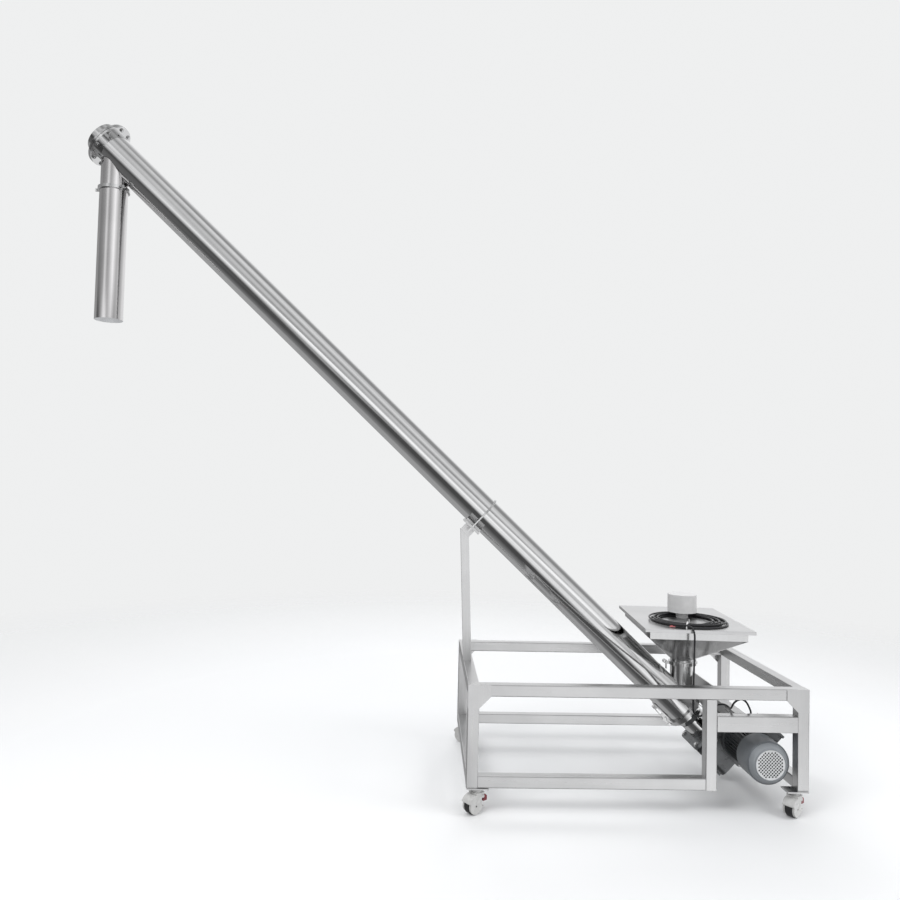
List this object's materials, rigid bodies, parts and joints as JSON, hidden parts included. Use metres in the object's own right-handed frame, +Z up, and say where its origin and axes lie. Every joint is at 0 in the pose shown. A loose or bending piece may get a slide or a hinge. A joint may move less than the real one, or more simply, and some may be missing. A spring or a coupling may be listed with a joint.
{
  "type": "screw conveyor auger",
  "caption": "Inclined tubular screw conveyor on a castored steel frame, with a loading hopper, a drop spout and a worm gear motor.",
  "frame": {"origin": "on the floor under the middle of the part's box at rest, without the free cord", "axes": "+Z up; the casing rises towards -X; the motor's fan cover faces -Y, the front"},
  "size_m": [3.4178, 0.971, 3.1535],
  "materials": {
    "frame_steel": "satin brushed stainless",
    "bright_steel": "polished stainless",
    "hardware": "bright machined",
    "screw_steel": "ground stainless",
    "drive_paint": "smooth blue-grey paint",
    "gear_paint": "light grey paint",
    "motor_dark": "dark satin paint",
    "fan_plastic": "moulded",
    "black_plastic": "satin",
    "white_plastic": "semi-gloss",
    "cord_rubber": "matte black sheath",
    "caster_white": "semi-gloss",
    "tread": "matte",
    "pedal_red": "semi-gloss"
  },
  "bodies": {
    "machine": {"leg_fl": "frame_steel", "leg_fr": "frame_steel", "leg_bl": "frame_steel", "leg_br": "frame_steel", "top_rail_front": "frame_steel", "top_rail_back": "frame_steel", "top_rail_left": "frame_steel", "top_rail_right": "frame_steel", "bottom_rail_front": "frame_steel", "bottom_rail_back": "frame_steel", "bottom_rail_left": "frame_steel", "bottom_rail_right": "frame_steel", "mid_post": "frame_steel", "bay_rail": "frame_steel", "back_post": "frame_steel", "drive_beam": "frame_steel", "drive_plate": "hardware", "support_post": "frame_steel", "saddle": "frame_steel", "u_bolt": "hardware", "casing": "bright_steel", "end_cover": "bright_steel", "flange_bolts": "hardware", "spout_pipe": "bright_steel", "spout_clamp": "hardware", "spout_sleeve": "bright_steel", "inlet_neck": "bright_steel", "neck_clamp": "hardware", "hopper": "bright_steel", "hopper_lid": "bright_steel", "white_cap": "white_plastic", "clamp_ring": "hardware", "bottom_cover": "bright_steel", "lantern": "bright_steel", "latches": "hardware", "gearbox": "gear_paint", "motor_body": "motor_dark", "terminal_box": "gear_paint", "fan_cover": "drive_paint", "cable_gland": "black_plastic", "power_cord": "cord_rubber", "cord_coil": "cord_rubber"},
    "screw": {"auger_shaft": "screw_steel", "auger_flight": "screw_steel", "output_sleeve": "screw_steel"},
    "rotor": {"rotor_shaft": "screw_steel", "fan": "fan_plastic"},
    "swivel_fl": {"caster_fl": "caster_white"},
    "roller_fl": {"wheel_fl": "tread"},
    "brake_fl": {"pedal_fl": "pedal_red"},
    "swivel_fr": {"caster_fr": "caster_white"},
    "roller_fr": {"wheel_fr": "tread"},
    "brake_fr": {"pedal_fr": "pedal_red"},
    "swivel_bl": {"caster_bl": "caster_white"},
    "roller_bl": {"wheel_bl": "tread"},
    "brake_bl": {"pedal_bl": "pedal_red"},
    "swivel_br": {"caster_br": "caster_white"},
    "roller_br": {"wheel_br": "tread"},
    "brake_br": {"pedal_br": "pedal_red"}
  },
  "joints": [
    {"name": "screw_turn", "type": "hinge", "parent": "machine", "child": "screw", "pos_m": [1.30794, 0, 0.323], "axis": [-0.7302, 0, 0.6833], "continuous": true},
    {"name": "rotor_turn", "type": "hinge", "parent": "machine", "child": "rotor", "pos_m": [1.54491, -0.3, 0.21766], "axis": [0, -1, 0], "continuous": true},
    {"name": "swivel_fl", "type": "hinge", "parent": "machine", "child": "swivel_fl", "pos_m": [0.25894, -0.425, 0.095], "axis": [0, 0, 1], "continuous": true},
    {"name": "wheel_fl", "type": "hinge", "parent": "swivel_fl", "child": "roller_fl", "pos_m": [0.23924, -0.44039, 0.0375], "axis": [-0.6157, 0.788, 0], "continuous": true},
    {"name": "brake_fl", "type": "hinge", "parent": "swivel_fl", "child": "brake_fl", "pos_m": [0.26997, -0.41638, 0.0715], "axis": [-0.6157, 0.788, 0], "range_deg": [0, 10]},
    {"name": "swivel_fr", "type": "hinge", "parent": "machine", "child": "swivel_fr", "pos_m": [1.65894, -0.425, 0.095], "axis": [0, 0, 1], "continuous": true},
    {"name": "wheel_fr", "type": "hinge", "parent": "swivel_fr", "child": "roller_fr", "pos_m": [1.63924, -0.44039, 0.0375], "axis": [-0.6157, 0.788, 0], "continuous": true},
    {"name": "brake_fr", "type": "hinge", "parent": "swivel_fr", "child": "brake_fr", "pos_m": [1.66997, -0.41638, 0.0715], "axis": [-0.6157, 0.788, 0], "range_deg": [0, 10]},
    {"name": "swivel_bl", "type": "hinge", "parent": "machine", "child": "swivel_bl", "pos_m": [0.25894, 0.425, 0.095], "axis": [0, 0, 1], "continuous": true},
    {"name": "wheel_bl", "type": "hinge", "parent": "swivel_bl", "child": "roller_bl", "pos_m": [0.23924, 0.44039, 0.0375], "axis": [0.6157, 0.788, 0], "continuous": true},
    {"name": "brake_bl", "type": "hinge", "parent": "swivel_bl", "child": "brake_bl", "pos_m": [0.26997, 0.41638, 0.0715], "axis": [0.6157, 0.788, 0], "range_deg": [0, 10]},
    {"name": "swivel_br", "type": "hinge", "parent": "machine", "child": "swivel_br", "pos_m": [1.65894, 0.425, 0.095], "axis": [0, 0, 1], "continuous": true},
    {"name": "wheel_br", "type": "hinge", "parent": "swivel_br", "child": "roller_br", "pos_m": [1.63924, 0.44039, 0.0375], "axis": [0.6157, 0.788, 0], "continuous": true},
    {"name": "brake_br", "type": "hinge", "parent": "swivel_br", "child": "brake_br", "pos_m": [1.66997, 0.41638, 0.0715], "axis": [0.6157, 0.788, 0], "range_deg": [0, 10]}
  ],
  "couplings": [
    {"joint": "rotor_turn", "follows": "screw_turn", "ratio": 10}
  ]
}
